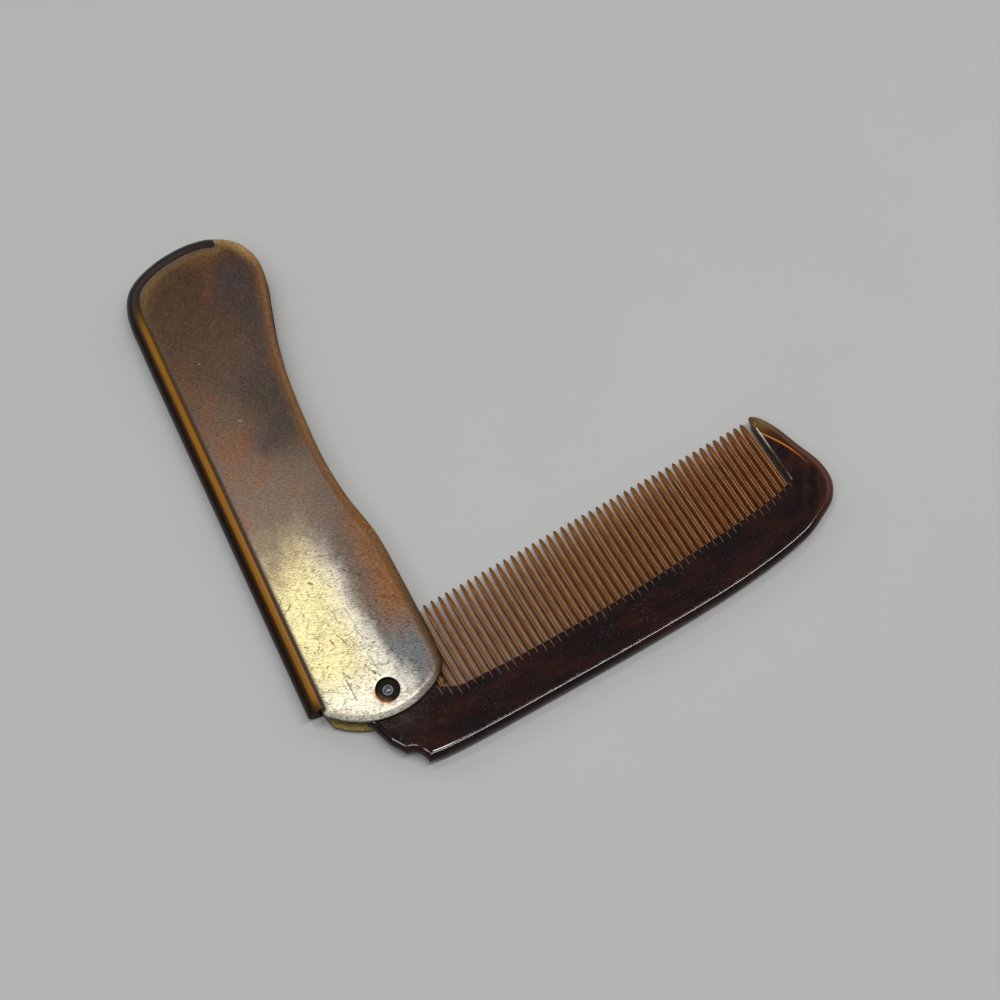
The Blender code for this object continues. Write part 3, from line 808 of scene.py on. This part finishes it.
# Painted glow: a soft red glow along the rim of the nose
nose_rim_glow = times(tree, nose, between(tree, outer, 2.6, 1.2))
colour = blended(tree, times(tree, nose_rim_glow, 0.85), colour, (0.080, 0.019, 0.005))
tip = times(tree, between(tree, y, 5.0, 10.0), guard)
colour = blended(tree, times(tree, tip, 0.7), colour, (0.17, 0.10, 0.018))
inner_wall = times(tree, between(tree, from_middle, 1.42, 1.2), between(tree, y, -4.0, 1.0))
inner_wall = times(tree, inner_wall, between(tree, outer, 0.9, 1.6))
colour = blended(tree, times(tree, inner_wall, 0.9), colour, (0.075, 0.024, 0.006))
under_edge = between(tree, z, 0.6, -1.2)
colour = blended(tree, times(tree, under_edge, 0.6), colour, (0.06, 0.018, 0.008))
sawn = times(tree, between(tree, root, 1.9, 1.2), between(tree, from_middle, 1.497, 1.44))
colour = blended(tree, times(tree, sawn, 0.6), colour, (0.15, 0.12, 0.11))
dust = use(tree, dust_specks, Vector=place, Density=2.0, Size=0.24, Patches=0.35)["Mask"]
colour = blended(tree, times(tree, dust, 0.65), colour, (0.20, 0.16, 0.155))
tree.links.new(colour, shader.inputs["Base Color"])
smear = noise(tree, stretched(tree, place, (0.3, 1.0, 1.0), 20), 0.5, 4.0, 0.6)
rough = maths(tree, "MULTIPLY_ADD", between(tree, smear, 0.4, 0.8), 0.05, 0.05)
scratch = use(tree, hairlines, Vector=place, Amount=0.12)["Mask"]
rough = maths(tree, "ADD", scratch, maths(tree, "MULTIPLY_ADD", sawn, 0.4, rough))
low_wall = between(tree, from_middle, 1.2, 0.8)
tree.links.new(maths(tree, "MULTIPLY_ADD", low_wall, 0.4, rough), shader.inputs["Roughness"])
height = maths(tree, "ADD", noise(tree, place, 0.25, 1.0), times(tree, sand, 0.5))
bumped(tree, shader, height, 0.2, 0.00003)
tree.links.new(maths(tree, "MULTIPLY_ADD", low_wall, -0.4, 0.4), shader.inputs["Coat Weight"])
shader.inputs["Coat Roughness"].default_value = 0.03
shader.inputs["Specular IOR Level"].default_value = 0.3
comb_body.data.materials.clear()
comb_body.data.materials.append(made)
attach(comb_body, "comb")
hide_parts("comb")


# TEETH OF THE COMB
# Sawn out of the same moulding, so thin that they show amber. Each is an oblong blade with rounded
# corners that narrows to a blunt point, and the row ends beside the guard tooth.
TOOTH_HALF_WIDTH = 0.42
TOOTH_HALF_THICKNESS = 1.38
TOOTH_SWAY = 0.04


def make_teeth():
    """All the teeth at once: sections (w a, h b), with a and b the table of an oblong rounded most on its
    right shoulder. Half width w and half thickness h shrink from 2 mm inside the body to the tip, and
    each tooth sways a little to one side by the square of its share of the length."""
    number = np.arange(TOOTH_COUNT)
    x = FIRST_TOOTH + number * TOOTH_PITCH
    root = np.interp(x, root_line[:, 0], root_line[:, 1]) - 2.0
    along = np.array([0.0, 0.08, 0.16, 0.3, 0.45, 0.6, 0.74, 0.85, 0.92, 0.965, 0.99, 1.0])
    wide = TOOTH_HALF_WIDTH * np.array([1, 1, 1, 1, 0.99, 0.98, 0.95, 0.9, 0.82, 0.68, 0.48, 0.2])
    thick = TOOTH_HALF_THICKNESS * np.array([0.97, 0.99, 1, 1, 0.98, 0.95, 0.89, 0.79, 0.65, 0.47, 0.27, 0.1])
    across = np.array([-1.0, -0.93, -0.6, 0.0, 0.42, 0.94, 1.0, 1.0, 0.8, 0.0, -0.8, -1.0])
    up = np.array([0.88, 0.97, 1.0, 1.0, 1.0, 0.945, 0.90, -0.85, -1.0, -1.0, -1.0, -0.85])
    sway = TOOTH_SWAY * np.sin(number * 2.399) * np.cos(number * 0.73)
    x = x[:, None, None] + (wide[:, None] * across)[None] + (sway[:, None] * along**2)[..., None]
    y = (root[:, None] + (TIP_LINE - root)[:, None] * along)[..., None]
    points = np.stack(np.broadcast_arrays(x, y, (thick[:, None] * up)[None]), axis=-1)
    index, sides = ring_faces(len(along), len(up))
    first = number[:, None, None] * index.size
    sides = (first + sides).reshape(-1, 4).tolist()
    ends = (first + index[[0, -1]]).reshape(-1, len(up)).tolist()
    mesh = bpy.data.meshes.new("comb_teeth")
    mesh.from_pydata(turned_comb(points).reshape(-1, 3).tolist(), [], sides + ends)
    return tidied("comb_teeth", mesh, 9)


teeth = make_teeth()
place = flat_place(teeth, COMB_TURN)
from_root = place[:, 1] - np.interp(place[:, 0], root_line[:, 0], root_line[:, 1])
note(teeth, along=np.clip(from_root / (TIP_LINE - root_line[:, 1].mean()), 0, 1))

made, tree, shader = new_material("amber_teeth")
place = millimetres(tree, COMB_TURN)
x, y, z = add(tree, "SeparateXYZ", {0: place}).outputs
along = add(tree, "Attribute", attribute_name="along").outputs["Fac"]
count = maths(tree, "MULTIPLY_ADD", x, 1 / TOOTH_PITCH, 0.5 - FIRST_TOOTH / TOOTH_PITCH)
each = add(tree, "TexWhiteNoise", {"W": maths(tree, "FLOOR", count)}, noise_dimensions="1D").outputs["Value"]
beside_middle = maths(tree, "FRACT", count)
warm = blended(tree, between(tree, x, 10.0, 45.0), (0.20, 0.092, 0.012), (0.26, 0.118, 0.008))
warm = blended(tree, between(tree, x, 50.0, 84.0), warm, (0.23, 0.080, 0.009))
# Painted shade: the teeth darken towards the root
root_shaded = blended(tree, between(tree, along, 0.0, 0.16, 0.35, 1.0), (0.035, 0.012, 0.006), warm)
paler = blended(tree, between(tree, along, 0.72, 1.0, 0.0, 0.7), root_shaded, (0.20, 0.13, 0.035))
streak = noise(tree, stretched(tree, place, (3.0, 0.35, 1.5)), 1.0, 3.0, 0.6)
colour = toned(tree, between(tree, streak, 0.35, 0.7), paler, (0.7, 0.62, 0.6), (1.3, 1.25, 1.2))
colour = blended(tree, times(tree, each, 0.25), colour, (0.05, 0.02, 0.01))
# Painted highlights: a pale line down the right shoulder of each tooth, and a fainter, broken one on the left
right_highlight = band(tree, beside_middle, 0.605, 0.645, 0.71, 0.75)
left_highlight = band(tree, beside_middle, 0.26, 0.29, 0.35, 0.38)
left_highlight = times(tree, left_highlight, between(tree, each, 0.2, 0.9, 0.25, 0.9))
shoulder_highlight = times(tree, maths(tree, "MAXIMUM", left_highlight, right_highlight), between(tree, z, 0.5, 1.1))
colour = blended(tree, times(tree, between(tree, z, 1.0, 1.3), 0.35), colour, (0.10, 0.042, 0.006))
shoulder_highlight = times(tree, shoulder_highlight, between(tree, streak, 0.3, 0.6, 0.4, 1.0))
colour = blended(tree, shoulder_highlight, colour, (0.66, 0.41, 0.18))
tree.links.new(colour, shader.inputs["Base Color"])
tree.links.new(maths(tree, "MULTIPLY_ADD", streak, 0.2, 0.16), shader.inputs["Roughness"])
bumped(tree, shader, streak, 0.4, 0.00004)
shader.inputs["Metallic"].default_value = 0.25
clear = add(tree, "BsdfTransparent", {"Color": (0.90, 0.48, 0.07, 1.0)})
seen_through = add(tree, "MixShader", {0: 0.45, 1: shader.outputs[0], 2: clear.outputs[0]})
tree.links.new(seen_through.outputs[0], tree.nodes["Material Output"].inputs["Surface"])
teeth.data.materials.append(made)
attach(teeth, "comb")
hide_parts("comb")


# RIVET
# A steel pin through both leaves and the tang. Its ends are peened to small domes at the bottom of
# the two counterbores, and are dull with age. A bright ring round each dome is a painted reflection.
RIVET_PROFILE = [
    (0.0, 2.99), (0.14, 2.985), (0.28, 2.965), (0.42, 2.935), (0.55, 2.89), (0.67, 2.835), (0.78, 2.77),
    (0.88, 2.69), (0.96, 2.6), (1.02, 2.52), (1.05, 2.43), (1.05, 2.36), (0.7, 2.34),
]
rivet = turned("rivet_pin", RIVET_PROFILE + [(r, -z) for r, z in reversed(RIVET_PROFILE)], 64)

made, tree, shader = new_material("peened_steel")
place = millimetres(tree)
u, v, z = add(tree, "SeparateXYZ", {0: place}).outputs
grime = noise(tree, place, 2.2, 3.0, 0.6)
colour = blended(tree, between(tree, grime, 0.4, 0.7), (0.12, 0.122, 0.14), (0.06, 0.06, 0.063))
# Painted reflection: a bright ring round the dome
reflected_ring = band(tree, from_axis(tree, u, v), 0.66, 0.84, 0.97, 1.03)
colour = blended(tree, reflected_ring, colour, (0.62, 0.62, 0.64))
tree.links.new(colour, shader.inputs["Base Color"])
tree.links.new(maths(tree, "MULTIPLY_ADD", grime, 0.16, 0.10), shader.inputs["Roughness"])
shader.inputs["Metallic"].default_value = 0.6
bumped(tree, shader, grime, 0.12, 0.00004)
rivet.data.materials.append(made)
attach(rivet, "case")
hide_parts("rivet")


# FLOOR, LIGHT AND CAMERA
# A plain pale table top, five soft panels with the key almost overhead, a weak even sky, and a camera
# that looks down at 70 degrees from the rivet end.
FLOOR_SIZE = 8.0
floor_mesh = bpy.data.meshes.new("floor")
corners = np.array([(-1, -1, 0), (1, -1, 0), (1, 1, 0), (-1, 1, 0)]) * FLOOR_SIZE / 2
floor_mesh.from_pydata(corners.tolist(), [], [(0, 1, 2, 3)])
floor = bpy.data.objects.new("floor", floor_mesh)
bpy.context.scene.collection.objects.link(floor)
made, tree, shader = new_material("pale_table")
place = add(tree, "TexCoord").outputs["Object"]
cloud = noise(tree, place, 9.0, 4.0, 0.55)
tree.links.new(blended(tree, cloud, (0.50, 0.50, 0.49), (0.55, 0.545, 0.535)), shader.inputs["Base Color"])
bumped(tree, shader, noise(tree, place, 900.0, 3.0, 0.6), 0.2, 0.0002)
shader.inputs["Roughness"].default_value = 0.7
floor.data.materials.append(made)

world = bpy.data.worlds.new("soft_room")
world.use_nodes = True
sky = world.node_tree.nodes["Background"]
sky.inputs["Color"].default_value = (0.93, 0.96, 1.0, 1.0)
sky.inputs["Strength"].default_value = 0.15
bpy.context.scene.world = world


def area_light(name, toward, distance, across, size, radiance, colour):
    """A rectangular panel at a distance along a direction, facing the object, its first side lying
    along the across vector. Its power is pi x area x radiance."""
    lamp = bpy.data.lights.new(name, "AREA")
    lamp.shape = "RECTANGLE"
    lamp.size, lamp.size_y = size
    lamp.energy = math.pi * size[0] * size[1] * radiance
    lamp.color = colour
    holder = bpy.data.objects.new(name, lamp)
    way = Vector(toward).normalized()
    holder.location = way * distance
    side = (Vector(across) - way * way.dot(Vector(across))).normalized()
    holder.rotation_euler = Matrix((side, way.cross(side), way)).transposed().to_euler()
    bpy.context.scene.collection.objects.link(holder)


EAST, NORTH = (1, 0, 0), (0, 1, 0)
area_light("key_panel", (-0.06, 0.265, 0.97), 1.0, EAST, (0.20, 0.17), 9.5, (1.0, 0.985, 0.95))
area_light("strip_panel", (0.2, -0.115, 1.0), 1.0, EAST, (0.7, 0.07), 28.0, (1.0, 0.99, 0.97))
area_light("right_panel", (0.75, 0.2, 0.66), 1.2, NORTH, (1.2, 0.8), 0.6, (1.0, 0.99, 0.97))
area_light("left_panel", (-0.5, -0.16, 1.0), 1.0, (-0.885, -0.465, 0), (0.5, 0.13), 6.0, (0.85, 0.93, 1.0))
area_light("back_panel", (-0.35, 0.75, 0.56), 1.4, EAST, (1.2, 0.6), 1.2, (0.95, 0.98, 1.0))
bpy.context.scene.view_settings.view_transform = "Standard"

CAMERA_TURN = math.radians(-26.05)
CAMERA_HEIGHT = math.radians(70)
CAMERA_DISTANCE = 0.288
LOOK_AT = Vector((0.036, -0.02465, 0.0055))
back = Vector((
    math.sin(CAMERA_TURN) * math.cos(CAMERA_HEIGHT), -math.cos(CAMERA_TURN) * math.cos(CAMERA_HEIGHT),
    math.sin(CAMERA_HEIGHT),
))
lens = bpy.data.cameras.new("camera")
lens.sensor_width = 36.0
lens.lens = 54.0
lens.clip_start = 0.01
camera = bpy.data.objects.new("camera", lens)
camera.location = LOOK_AT + back * CAMERA_DISTANCE
camera.rotation_euler = back.to_track_quat("Z", "Y").to_euler()
bpy.context.scene.collection.objects.link(camera)
bpy.context.scene.camera = camera
